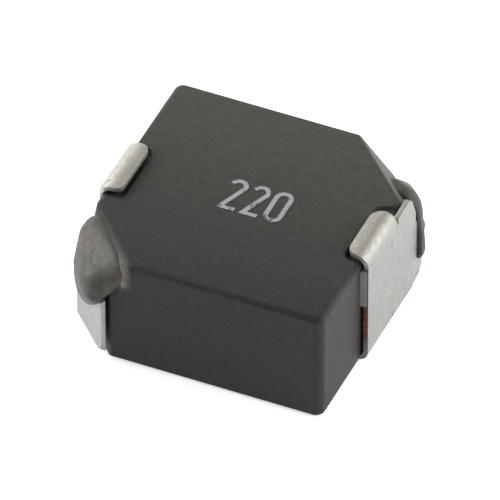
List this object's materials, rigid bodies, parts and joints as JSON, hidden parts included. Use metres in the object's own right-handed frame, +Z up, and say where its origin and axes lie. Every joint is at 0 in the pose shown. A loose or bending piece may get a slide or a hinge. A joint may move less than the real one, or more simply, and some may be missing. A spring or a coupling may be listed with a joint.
{
  "type": "shielded smd power inductor",
  "caption": "Square surface-mount power inductor: dark ferrite shield with cut corners, tinned side clips with soldering pads underneath, and resin beads over the wire joints.",
  "frame": {"origin": "centre of the footprint, on the plane of the undersides of the soldering pads", "axes": "+Z up, away from the circuit board; +X towards the right-hand terminal; front is -Y; the digits read from the front"},
  "size_m": [0.0106, 0.0102, 0.0048],
  "materials": {
    "shield_ferrite": "dull sintered ferrite with fine mottled grain",
    "drum_ferrite": "dull sintered ferrite",
    "enamelled_wire": "copper under clear enamel",
    "core_adhesive": "cured adhesive, slightly uneven",
    "tinned_sheet": "matt tin plating on copper sheet",
    "clip_resin": "cured grey resin",
    "solder": "frozen solder",
    "bead_resin": "dark grey resin with a soft sheen",
    "mark_ink": "thin pale ink, slightly worn"
  },
  "bodies": {
    "root": {"shield_core": "shield_ferrite", "drum_core": "drum_ferrite", "coil_wire": "enamelled_wire", "core_adhesive": "core_adhesive", "terminal_left": "tinned_sheet", "terminal_right": "tinned_sheet", "terminal_glue_left": "clip_resin", "terminal_glue_right": "clip_resin", "solder_left": "solder", "solder_right": "solder", "corner_bead_left": "bead_resin", "corner_bead_right": "bead_resin", "value_mark": "mark_ink"}
  },
  "joints": []
}
